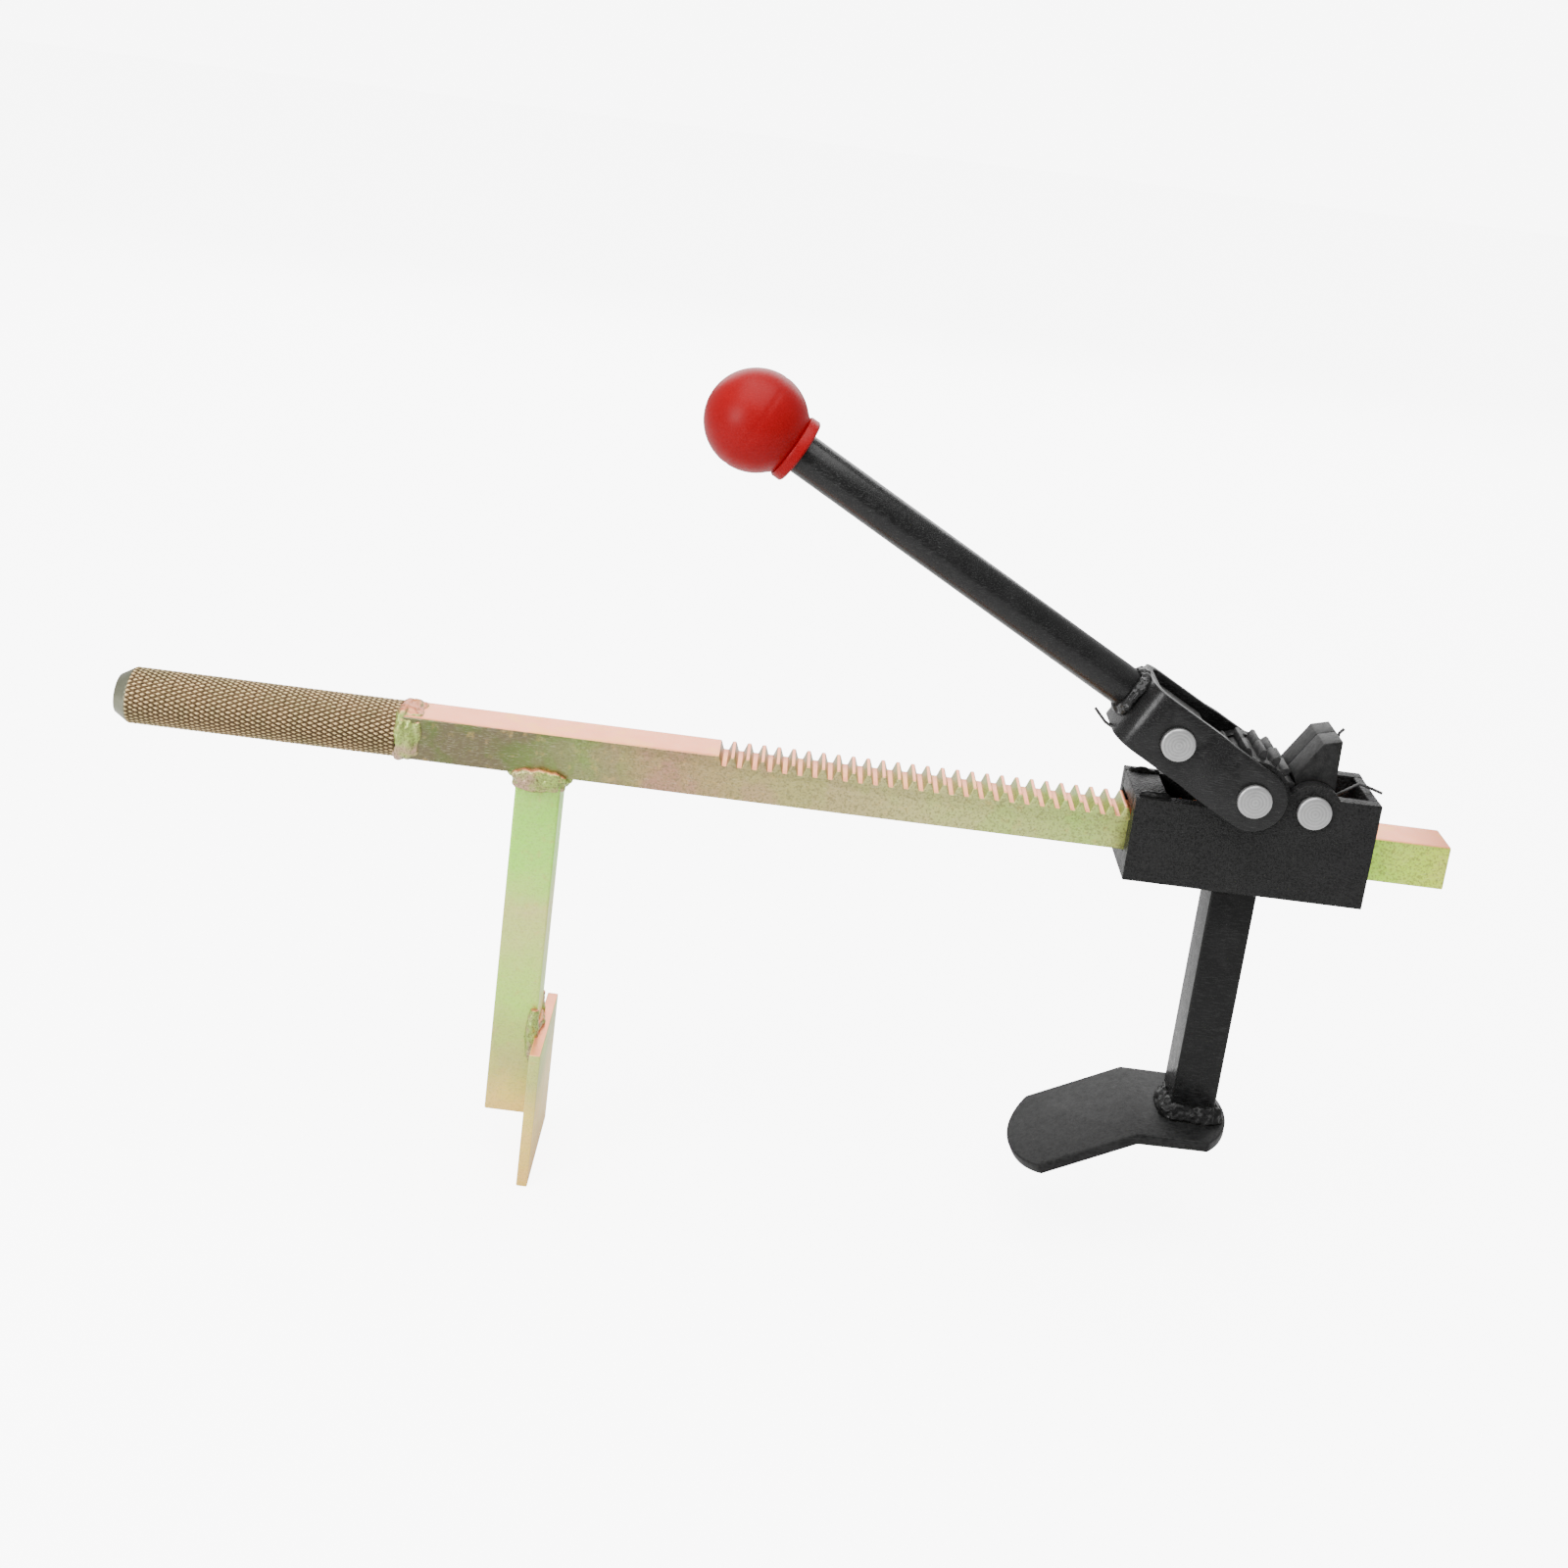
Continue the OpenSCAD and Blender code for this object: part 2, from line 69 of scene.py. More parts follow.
def finished(node, width_mm, segments=2, sharper_than=32):
    """A copy of a CAD node with whole faces and broken edges, which stands for it."""
    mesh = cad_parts[node].data.copy()
    obj = bpy.data.objects.new(node + "_finished", mesh)
    bpy.context.scene.collection.objects.link(obj)
    mesh.materials.clear()
    pick(obj)
    bpy.ops.object.mode_set(mode="EDIT")
    bpy.ops.mesh.select_all(action="SELECT")
    bpy.ops.mesh.remove_doubles(threshold=0.002 * MM)
    bpy.ops.mesh.dissolve_limited(angle_limit=math.radians(0.8))
    bpy.ops.object.mode_set(mode="OBJECT")
    round_edges(obj, width_mm, segments, sharper_than)
    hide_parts(node)
    return obj


class Value:
    """A shader socket, so that what varies over a surface is written as arithmetic."""

    def __init__(self, finish, socket):
        self.finish = finish
        self.socket = socket

    def math(self, operation, *others):
        return self.finish.node("Math", {"operation": operation}, [self, *others])

    def __add__(self, other):
        return self.math("ADD", other)

    __radd__ = __add__

    def __mul__(self, other):
        return self.math("MULTIPLY", other)

    __rmul__ = __mul__

    def __sub__(self, other):
        return self.math("SUBTRACT", other)

    def __rsub__(self, other):
        return self.finish.node("Math", {"operation": "SUBTRACT"}, [other, self])

    def between(self, low, high):
        """0 below low, 1 above high, and a soft step between."""
        return self.finish.node(
            "MapRange",
            {"interpolation_type": "SMOOTHSTEP"},
            {"Value": self, "From Min": low, "From Max": high},
        )


def tint(red, green, blue):
    """The share of red, green and blue light that a surface sends back."""
    return (red, green, blue, 1)


def grey(share):
    """A neutral grey that sends back that share of the light."""
    return (share, share, share, 1)


class Finish:
    """A material: constants go on the shader, and what varies is fed to it by nodes."""

    def __init__(self, name, **constants):
        self.material = bpy.data.materials.new(name)
        self.material.use_nodes = True
        self.tree = self.material.node_tree
        self.shader = self.tree.nodes["Principled BSDF"]
        for key, value in constants.items():
            self.shader.inputs[key.replace("_", " ")].default_value = value
        self.place = self.node("TexCoord", out="Object")

    def node(self, kind, settings=None, inputs=None, out=0):
        made = self.tree.nodes.new("ShaderNode" + kind)
        for key, value in (settings or {}).items():
            if key == "stops":
                ramp = made.color_ramp
                while len(ramp.elements) < len(value):
                    ramp.elements.new(0.5)
                for element, (at, colour) in zip(ramp.elements, value):
                    element.position = at
                    element.color = colour
            else:
                setattr(made, key, value)
        named = inputs or {}
        if not isinstance(named, dict):
            named = dict(enumerate(named))
        for key, value in named.items():
            if isinstance(value, Value):
                self.tree.links.new(value.socket, made.inputs[key])
            else:
                made.inputs[key].default_value = value
        return Value(self, made.outputs[out])

    def put(self, scale, turn=(0, 0, 0), shift=(0, 0, 0)):
        """The place on the piece, turned and stretched for a pattern; scale is per mm."""
        return self.node(
            "Mapping",
            {"vector_type": "POINT"},
            {
                "Vector": self.place,
                "Location": shift,
                "Rotation": [math.radians(a) for a in turn],
                "Scale": [s / MM for s in scale],
            },
        )

    def noise(self, size_mm, detail=2, seed=0, stretch=(1, 1, 1), turn=(0, 0, 0)):
        """Cloudy noise from 0 to 1 with lumps of about size_mm, drawn out by stretch."""
        scale = [1 / (size_mm * s) for s in stretch]
        return self.node(
            "TexNoise",
            {},
            {
                "Vector": self.put(scale, turn, (seed * 7.3, seed * 3.1, seed * 5.7)),
                "Scale": 1.0,
                "Detail": float(detail),
            },
        )

    def mix(self, mask, first, second):
        """The first colour where mask is 0 and the second where it is 1."""
        made = self.tree.nodes.new("ShaderNodeMix")
        made.data_type = "RGBA"
        for socket, value in zip((0, 6, 7), (mask, first, second)):
            if isinstance(value, Value):
                self.tree.links.new(value.socket, made.inputs[socket])
            else:
                made.inputs[socket].default_value = value
        return Value(self, made.outputs[2])

    def facing(self, axis):
        """How far the surface faces along an axis of the row frame, from -1 to 1."""
        normal = self.node("NewGeometry", out="Normal")
        return self.node("SeparateXYZ", {}, [normal], out=axis)

    def along(self, axis):
        """Distance along an axis in mm."""
        return self.node("SeparateXYZ", {}, [self.place], out=axis) * (1 / MM)

    def bump(self, height, depth_mm):
        """Raises the surface by height times depth_mm."""
        normal = self.node(
            "Bump",
            {},
            {"Height": height, "Strength": 1.0, "Distance": depth_mm * MM},
            out="Normal",
        )
        self.feed(Normal=normal)

    def feed(self, **inputs):
        for key, value in inputs.items():
            socket = self.shader.inputs[key.replace("_", " ")]
            self.tree.links.new(value.socket, socket)


def put_on(obj, finish, body):
    """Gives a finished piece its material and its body."""
    obj.data.materials.clear()
    obj.data.materials.append(finish.material)
    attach(obj, body)


def scuffs(finish, width_mm, length_mm, seed):
    """Fine scratches lying three ways, 0 to 1."""
    strokes = 0.0
    for lie, turn in enumerate((35, -50, 80)):
        drawn = finish.noise(
            width_mm, 1, seed + lie, (length_mm / width_mm, 1, 1), (turn, 0, turn)
        )
        strokes = drawn.between(0.63, 0.72) + strokes
    return strokes.math("MINIMUM", 1.0)


def plated(
    name, seed, ramp_axis=None, stops=None, green=0.5, gold=0.35, soil=0.6, shade=1.0
):
    """Yellow zinc: pink and green clouds over a gold ground, salmon on upward-facing faces: a
    warmer tone of the plating there, brightened as painted light from above.

    stops are colours at distances in mm along ramp_axis. green is where pink turns to
    green, gold and soil are how strong the flecks and the grime are, and shade darkens."""
    finish = Finish(name, Metallic=0.62, Specular_IOR_Level=0.25)
    clouds = finish.noise(11, 3, seed)
    flecks = finish.noise(3.2, 4, seed + 1)
    olive = tint(0.56 * shade, 0.74 * shade, 0.16 * shade)
    mauve = tint(0.82 * shade, 0.50 * shade, 0.34 * shade)
    sand = tint(0.62, 0.40, 0.12)
    ground = finish.mix(clouds.between(green - 0.08, green + 0.10), mauve, olive)
    if stops:
        drift = finish.along(ramp_axis) + (finish.noise(14, 2, seed + 2) - 0.5) * 26
        low, high = stops[0][0], stops[-1][0]
        spread = [((at - low) / (high - low), colour) for at, colour in stops]
        ramp = finish.node(
            "ValToRGB", {"stops": spread}, [(drift - low) * (1 / (high - low))]
        )
        ground = finish.mix(0.9, ground, ramp)
    ground = finish.mix(flecks.between(0.55, 0.78) * gold, ground, sand)
    # Painted light from above: upward-facing faces get a brighter salmon tone over a warmer tone
    # of the plating, and the grime is kept off them.
    lit_top = finish.facing(2).between(0.55, 0.9)
    lit_top_tone = finish.mix(
        finish.noise(9, 2, seed + 3).between(0.5, 0.72) * 0.7,
        tint(shade, 0.34 * shade, 0.17 * shade),
        tint(shade, 0.44 * shade, 0.12 * shade),
    )
    ground = finish.mix(lit_top, ground, lit_top_tone)
    marks = scuffs(finish, 0.22, 2.4, seed + 5)
    ground = finish.mix(marks * 0.2, ground, tint(0.7, 0.66, 0.46))
    grime = finish.noise(0.7, 3, seed + 9).between(0.44, 0.70) * soil
    ground = finish.mix(grime * (1 - lit_top), ground, tint(0.13, 0.12, 0.05))
    finish.feed(Base_Color=ground, Roughness=finish.noise(5, 3, seed + 4) * 0.22 + 0.24)
    finish.bump(marks * 0.5 + finish.noise(0.5, 3, seed + 6) * 0.7, 0.02)
    return finish


BAR_COLOURS = [
    (100, tint(0.03, 0.045, 0.018)),
    (140, tint(0.04, 0.05, 0.02)),
    (166, tint(0.13, 0.18, 0.05)),
    (196, tint(0.34, 0.17, 0.11)),
    (236, tint(0.36, 0.28, 0.12)),
    (290, tint(0.44, 0.44, 0.16)),
    (340, tint(0.36, 0.52, 0.11)),
    (395, tint(0.52, 0.46, 0.14)),
    (440, tint(0.42, 0.76, 0.05)),
    (471, tint(0.58, 0.70, 0.06)),
]
bar_finish = plated("bar_plating", 1, 0, BAR_COLOURS)
rack_bar = finished("rack_bar", 0.22)
put_on(rack_bar, bar_finish, "toothed_bar")

# ---- Knurled grip ----
# A 20 mm round turned down at its outer end and rolled with a diamond knurl, then plated
# with the bar. The chamfer and the end face stay plain; the grooves are darkened as painted shade,
# and the crests are gold with a painted highlight on their tips.
GRIP_R = 10.0
GRIP_LENGTH = 100.0
CHAMFER_LENGTH = 5.0
CHAMFER_DEPTH = 3.0
KNURL_ROUND = 36
KNURL_PITCH = 3.6
KNURL_DEPTH = 0.5


def ridge(turns):
    """Height of one family of knurl ridges, 0 in the groove and 1 on the crest."""
    return 1 - abs(2 * (turns % 1) - 1)


bpy.ops.object.select_all(action="DESELECT")
bpy.ops.mesh.primitive_grid_add(x_subdivisions=240, y_subdivisions=252, size=1)
grip = bpy.context.object
grip.name = "grip_knurled"
for vertex in grip.data.vertices:
    x = (vertex.co.x + 0.5) * GRIP_LENGTH
    turn = vertex.co.y + 0.5
    over = max(0.0, 1 - x / CHAMFER_LENGTH)
    radius = GRIP_R - over * CHAMFER_DEPTH
    right = ridge(turn * KNURL_ROUND + x / KNURL_PITCH)
    left = ridge(turn * KNURL_ROUND - x / KNURL_PITCH)
    fade = min(1, max(0, (x - CHAMFER_LENGTH + 0.8) / 1.2))
    radius -= KNURL_DEPTH * (1 - min(1, 1.5 * min(right, left))) * fade
    angle = turn * math.tau
    vertex.co = (x * MM, radius * MM * math.cos(angle), radius * MM * math.sin(angle))
pick(grip)
bpy.ops.object.mode_set(mode="EDIT")
bpy.ops.mesh.select_all(action="SELECT")
bpy.ops.mesh.remove_doubles(threshold=0.004 * MM)
bpy.ops.mesh.select_all(action="DESELECT")
bpy.ops.mesh.select_non_manifold()
bpy.ops.mesh.fill_holes(sides=0)
bpy.ops.mesh.select_all(action="SELECT")
bpy.ops.mesh.normals_make_consistent(inside=False)
bpy.ops.object.mode_set(mode="OBJECT")
bpy.ops.object.shade_smooth_by_angle(angle=math.radians(50))
grip_finish = Finish("knurl_plating", Metallic=0.8)
depth = grip_finish.along(1).math("POWER", 2.0) + grip_finish.along(2).math("POWER", 2.0)
crest_lit_groove_shaded = depth.math("SQRT").between(GRIP_R - 0.36, GRIP_R - 0.02)
gold = grip_finish.mix(
    grip_finish.noise(10, 3, 4).between(0.4, 0.65),
    tint(0.30, 0.205, 0.095),
    tint(0.22, 0.185, 0.08),
)
# Painted shade and highlight: the grooves go near black and the crest tips are lightened, keyed to
# the height over the knurl.
knurl = grip_finish.mix(crest_lit_groove_shaded, tint(0.06, 0.035, 0.015), gold)
knurl = grip_finish.mix(crest_lit_groove_shaded.between(0.75, 1.0) * 0.45, knurl, tint(0.85, 0.62, 0.30))
plain = 1 - grip_finish.along(0).between(CHAMFER_LENGTH - 0.6, CHAMFER_LENGTH + 0.2)
knurl = grip_finish.mix(plain, knurl, grip_finish.mix(grip_finish.noise(3, 3, 2),
                        tint(0.13, 0.135, 0.09), tint(0.24, 0.24, 0.17)))
grip_finish.feed(Base_Color=knurl, Roughness=grip_finish.noise(2, 3, 6) * 0.2 + 0.25)
grip_finish.bump(grip_finish.noise(0.4, 3, 8), 0.02)
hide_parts("grip")
put_on(grip, grip_finish, "toothed_bar")

# ---- Welds on the plated pieces ----
# Hand-laid beads, plated over after welding: a lumpy collar that fills the step between
# grip and bar, a saddle round the head of the hook's post, and fillets behind the plate.


def bead(name, runs, body, finish, replaced, lump_mm=1.1, grain_mm=2.4, voxel_mm=0.45):
    """A weld: each run is a list of (x, y, z, radius) in mm, melted into one lumpy skin."""
    laid = bpy.data.curves.new(name, "CURVE")
    laid.dimensions = "3D"
    laid.bevel_depth = MM
    laid.bevel_resolution = 3
    laid.use_fill_caps = True
    for run in runs:
        spline = laid.splines.new("POLY")
        spline.points.add(len(run) - 1)
        for point, (x, y, z, radius) in zip(spline.points, run):
            point.co = (x * MM, y * MM, z * MM, 1)
            point.radius = radius
    obj = bpy.data.objects.new(name, laid)
    bpy.context.scene.collection.objects.link(obj)
    pick(obj)
    bpy.ops.object.convert(target="MESH")
    obj = bpy.context.object
    melt = obj.modifiers.new("melt", "REMESH")
    melt.mode = "VOXEL"
    melt.voxel_size = voxel_mm * MM
    bpy.ops.object.modifier_apply(modifier=melt.name)
    for size, share in ((grain_mm, 1.0), (grain_mm * 0.35, 0.4)):
        lumps = bpy.data.textures.new(name + "_lumps", "CLOUDS")
        lumps.noise_scale = size * MM
        lumps.noise_depth = 2
        swell = obj.modifiers.new("swell", "DISPLACE")
        swell.texture = lumps
        swell.texture_coords = "LOCAL"
        swell.strength = lump_mm * share * MM
        swell.mid_level = 0.5
        bpy.ops.object.modifier_apply(modifier=swell.name)
    even = obj.modifiers.new("even", "SMOOTH")
    even.iterations = 2
    even.factor = 0.5
    bpy.ops.object.modifier_apply(modifier=even.name)
    bpy.ops.object.shade_smooth()
    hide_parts(*replaced)
    put_on(obj, finish, body)
    return obj


def ring(x, y, z, across, deep, radius, plane, count=20, wobble=0.0, squareness=0.6):
    """Points of a closed run round a centre, between a circle and a square."""
    points = []
    for step in range(count + 1):
        angle = math.tau * step / count
        c, s = math.cos(angle), math.sin(angle)
        grow = 1 + squareness * (1 / max(abs(c), abs(s)) - 1)
        a, b = across * c * grow, deep * s * grow
        swell = radius * (1 + wobble * math.sin(3 * angle + x) + wobble * math.sin(7 * angle + z))
        if plane == "x":
            points.append((x, y + a, z + b, swell))
        else:
            points.append((x + a, y + b, z, swell))
    return points


weld_finish = plated("weld_plating", 21, green=0.46, gold=0.6, soil=0.8, shade=0.55)
grip_weld = bead(
    "grip_weld_bead",
    [
        ring(101.6, 0, 0, 8.6, 8.6, 2.2, "x", wobble=0.12, squareness=0.25),
        ring(104.4, 0, 0, 7.8, 7.8, 2.5, "x", wobble=0.15, squareness=0.5),
        ring(107.0, 0, 0, 7.2, 7.2, 1.9, "x", wobble=0.2, squareness=0.8),
    ],
    "toothed_bar", weld_finish, ["grip_weld"],
)
POST_X = 151.4
hook_post_weld = bead(
    "hook_post_weld_bead",
    [
        ring(POST_X, 0, -9.6, 9.0, 8.2, 2.0, "z", wobble=0.15, squareness=0.75),
        ring(POST_X, 0, -12.2, 8.4, 7.8, 1.7, "z", wobble=0.2, squareness=0.8),
        [(142, -8.4, -8.4, 1.2), (146, -8.8, -7.2, 1.7), (151, -8.9, -6.8, 1.8),
         (157, -8.8, -7.2, 1.8), (161, -8.4, -8.6, 1.2)],
        [(141.4, -6, -8.6, 1.6), (141.2, 6, -8.6, 1.6)],
        [(161.6, -6, -8.6, 1.6), (161.8, 6, -8.6, 1.6)],
    ],
    "toothed_bar", weld_finish, ["hook_post_weld"],
)

# ---- Hook post and hook plate ----
# The post is the same 16 mm bar, welded under the toothed bar. A flat 45 by 4 mm plate is
# welded across its right side, and draws the floor board along.
post_finish = plated("post_plating", 31, 2, [
    (-161, tint(0.86, 0.52, 0.12)),
    (-135, tint(0.84, 0.60, 0.14)),
    (-118, tint(0.46, 0.48, 0.13)),
    (-95, tint(0.44, 0.74, 0.10)),
    (-62, tint(0.58, 0.60, 0.18)),
    (-40, tint(0.34, 0.82, 0.07)),
    (-16, tint(0.34, 0.76, 0.08)),
    (0, tint(0.22, 0.32, 0.07)),
], soil=0.2)
put_on(finished("hook_post", 0.2), post_finish, "toothed_bar")
put_on(finished("hook_plate", 0.45, 3), post_finish, "toothed_bar")
hook_plate_weld = bead(
    "hook_plate_weld_bead",
    [
        [(158.4, -8.6, -98, 1.5), (158.0, -8.8, -103, 2.3), (158.2, -8.7, -110, 2.6),
         (158.6, -8.5, -116, 2.2), (159.2, -8.2, -120, 1.2)],
        [(158.4, 8.6, -100, 1.5), (158.0, 8.8, -105, 2.2), (158.2, 8.7, -112, 2.4),
         (159.0, 8.2, -119, 1.3)],
        [(159.0, -6, -107.2, 1.6), (160.0, 0, -107.0, 1.9), (159.0, 6, -107.2, 1.6)],
    ],
    "toothed_bar", weld_finish, ["hook_plate_weld"],
)

# ---- Head: housing, bridge and end plate ----
# Cast-look channel of thick steel, dipped in black enamel that has wrinkled on the walls.
# A bridge is welded across its left end and a plate closes the top of its right end.


def enamel(
    name, seed, wrinkle_mm=0.0, wrinkle_size=1.3, roughness=0.3, dust=0.25, sheen=0.14
):
    """Black enamel: deep black with soft dust marks, scratches and an optional wrinkle."""
    finish = Finish(name, Specular_IOR_Level=sheen)
    cloud = finish.noise(9, 3, seed).between(0.35, 0.8)
    ground = finish.mix(cloud, grey(0.003), grey(0.007))
    marks = scuffs(finish, 0.16, 3.5, seed + 3)
    ground = finish.mix(marks * dust, ground, grey(0.06))
    specks = finish.noise(0.9, 2, seed + 7).between(0.74, 0.80)
    ground = finish.mix(specks * dust, ground, grey(0.2))
    rough = finish.noise(3, 3, seed + 5) * 0.2 + (roughness - 0.08)
    skin = finish.noise(1.6, 2, seed + 8) * 0.05 + marks * -0.012
    if wrinkle_mm:
        lumps = finish.noise(wrinkle_size, 4, seed + 9)
        pits = finish.noise(wrinkle_size * 0.55, 2, seed + 11).between(0.35, 0.62)
        skin = (lumps * 0.7 + pits * 0.6) * wrinkle_mm + skin
        ground = finish.mix(pits * 0.6, ground, grey(0.014))
    finish.feed(Base_Color=ground, Roughness=rough + marks * 0.12)
    finish.bump(skin, 1.0)
    return finish


wrinkled = enamel("wrinkled_enamel", 41, wrinkle_mm=0.34, wrinkle_size=1.4, roughness=0.34)
smooth_black = enamel("smooth_enamel", 43, roughness=0.27)
for node, edge in (("housing_channel", 0.7), ("front_bridge", 0.5), ("end_plate", 0.5)):
    put_on(finished(node, edge, 3), wrinkled, "head")
front_bridge_weld = bead(
    "front_bridge_weld_bead",
    [
        [(359.5, -11.2, 14.6, 1.1), (362, -11.0, 14.9, 1.6), (365, -11.3, 14.8, 1.8),
         (368, -11.0, 15.0, 1.6), (370.5, -11.2, 14.5, 1.0)],
        [(359.5, 11.2, 14.6, 1.1), (364, 11.2, 14.9, 1.7), (370, 11.0, 14.6, 1.1)],
    ],
    "head", smooth_black, ["front_bridge_weld"], lump_mm=1.3, grain_mm=2.0,
)

# ---- Foot ----
# A black 16 mm square post under the housing, and a 45 mm wide plate with rounded ends,
# bent down at the left. The fillets at both ends of the post are rough, with spatter.
FOOT_X = 399.5
put_on(finished("foot_post", 0.2), smooth_black, "head")
put_on(finished("foot_plate", 0.6, 3), enamel("plate_enamel", 45, 0.012, 2.4, 0.46, 0.35, 0.12),
       "head")
foot_post_weld = bead(
    "foot_post_weld_bead",
    [
        ring(FOOT_X, 0, -17.2, 8.6, 8.6, 1.5, "z", wobble=0.2, squareness=0.8),
        [(390.6, -8.6, -17.4, 1.8), (390.8, 8.6, -17.4, 1.6)],
        [(408.6, -8.4, -17.2, 1.7), (408.4, 8.4, -17.4, 1.5)],
    ],
    "head", smooth_black, ["foot_post_weld"],
)
foot_plate_weld = bead(
    "foot_plate_weld_bead",
    [
        ring(FOOT_X, 0, -107.0, 9.0, 9.0, 2.4, "z", wobble=0.25, squareness=0.8),
        ring(FOOT_X, 0, -104.6, 8.2, 8.2, 1.5, "z", wobble=0.3, squareness=0.9),
        ring(FOOT_X, 0, -108.2, 10.6, 10.6, 1.4, "z", wobble=0.3, squareness=0.7),
    ],
    "head", smooth_black, ["foot_plate_weld"], lump_mm=1.8, grain_mm=2.2,
)

# ---- Pinion ----
# Two 17-tooth blanks of hardened steel side by side on one pin, cut from plate, with a
# dark phosphate skin that is dry and sandy.


def hardened(name, seed, light=0.014, dark=0.005, rough=0.5):
    """Dark phosphate on steel: charcoal with a sandy grain and rubbed patches."""
    finish = Finish(name, Metallic=0.15, Specular_IOR_Level=0.2)
    cloud = finish.noise(2.6, 4, seed).between(0.3, 0.75)
    ground = finish.mix(cloud, grey(dark), grey(light))
    sand = finish.noise(0.28, 2, seed + 1).between(0.5, 0.74)
    ground = finish.mix(sand * 0.35, ground, tint(0.05, 0.048, 0.044))
    finish.feed(Base_Color=ground, Roughness=finish.noise(1.2, 3, seed + 2) * 0.24 + (rough - 0.1))
    finish.bump(finish.noise(0.35, 3, seed + 3), 0.05)
    return finish


gear_finish = hardened("gear_phosphate", 51, 0.035, 0.012)
for node in ("pinion_near_plate", "pinion_far_plate"):
    put_on(finished(node, 0.2, 2, 40), gear_finish, "pinion")

# ---- Pawls ----
# Each pawl is two thick blanked plates side by side on one pin, dark and sandy on their
# cut edges. The drive pawl hangs in the fork, the hold pawl stands behind the pinion.
pawl_finish = hardened("pawl_phosphate", 61)
for node in ("drive_pawl_near_plate", "drive_pawl_far_plate"):
    put_on(finished(node, 0.35, 3, 40), pawl_finish, "drive_pawl")
for node in ("hold_pawl_near_plate", "hold_pawl_far_plate"):
    put_on(finished(node, 0.4, 3, 40), pawl_finish, "hold_pawl")

# ---- Pins and snap rings ----
# Bright turned pins with flat 12 mm heads that show faint lathe rings, each held at the
# far side by a spring-steel ring.
LEVER_ANGLE = math.radians(29.2)
GEAR_X, GEAR_Z = 397.0, 20.55
HOLD_X, HOLD_Z = 419.0, 17.7
DRIVE_REACH = 32.7
ROD_RISE = 2.4


def on_lever(along, above, across=0.0):
    """A point of the lever in mm: along towards the knob and above the line of the pins."""
    c, s = math.cos(LEVER_ANGLE), math.sin(LEVER_ANGLE)
    return (GEAR_X - along * c + above * s, across, GEAR_Z + along * s + above * c)


def turned_steel(name, x, z, seed):
    """Bright steel with rings turned about the pin's own axis."""
    finish = Finish(name, Metallic=0.85)
    wide = (finish.along(0) - x).math("POWER", 2.0)
    tall = (finish.along(2) - z).math("POWER", 2.0)
    rings = ((wide + tall).math("SQRT") * 5.5).math("SINE") * 0.5 + 0.5
    cloud = finish.noise(2.2, 3, seed)
    ground = finish.mix(cloud, grey(0.30), grey(0.44))
    ground = finish.mix(finish.noise(0.5, 2, seed + 1).between(0.62, 0.75) * 0.5,
                        ground, grey(0.16))
    ground = finish.mix(rings * 0.34, ground, grey(0.14))
    finish.feed(Base_Color=ground, Roughness=cloud * 0.2 + 0.3)
    finish.bump(rings * 0.9 + finish.noise(0.4, 2, seed + 2), 0.035)
    return finish


drive_x, _, drive_z = on_lever(DRIVE_REACH, 0)
PINS = (
    ("gear_pin", GEAR_X, GEAR_Z, "head", 71),
    ("hold_pawl_pin", HOLD_X, HOLD_Z, "head", 74),
    ("drive_pawl_pin", drive_x, drive_z, "lever", 77),
)
ring_finish = hardened("ring_oxide", 81, 0.06, 0.03, 0.36)
for node, x, z, body, seed in PINS:
    bright = turned_steel(node + "_steel", x, z, seed)
    put_on(finished(node, 0.25, 3), bright, body)
    put_on(finished(node + "_clip", 0.15), ring_finish, body)

# ---- Lever: fork and rod ----
# The fork is one strip bent into a U and joggled outwards over the housing. The solid rod
# is welded to its bridge. Both are dipped in glossy black enamel, thin on the edges.
lever_black = enamel("lever_enamel", 91, roughness=0.22, dust=0.3, sheen=0.24)
put_on(finished("fork", 0.5, 3, 30), lever_black, "lever")
put_on(finished("lever_rod", 0.4), lever_black, "lever")


def round_rod(along, radius, thick, wobble, count=18):
    """A closed weld run round the rod at a distance along the lever."""
    points = []
    for step in range(count + 1):
        angle = math.tau * step / count
        x, y, z = on_lever(along + 0.5 * math.sin(3 * angle),
                           ROD_RISE + radius * math.cos(angle), radius * math.sin(angle))
        points.append((x, y, z, thick * (1 + wobble * math.sin(5 * angle))))
    return points


rod_weld = bead(
    "rod_weld_bead",
    [round_rod(51.6, 8.3, 1.5, 0.3), round_rod(53.2, 7.5, 1.1, 0.3)],
    "lever", lever_black, ["rod_weld"], lump_mm=1.2, grain_mm=2.0,
)

# ---- Knob ----
# A hollow 36 mm ball of red plastic with a short collar, pushed on the rod's end. A fine
# parting line runs round it, square to the rod.
KNOB_AT = 213.5
KNOB_R = 17.9
COLLAR_R = 12.0
BORE_R = 7.34


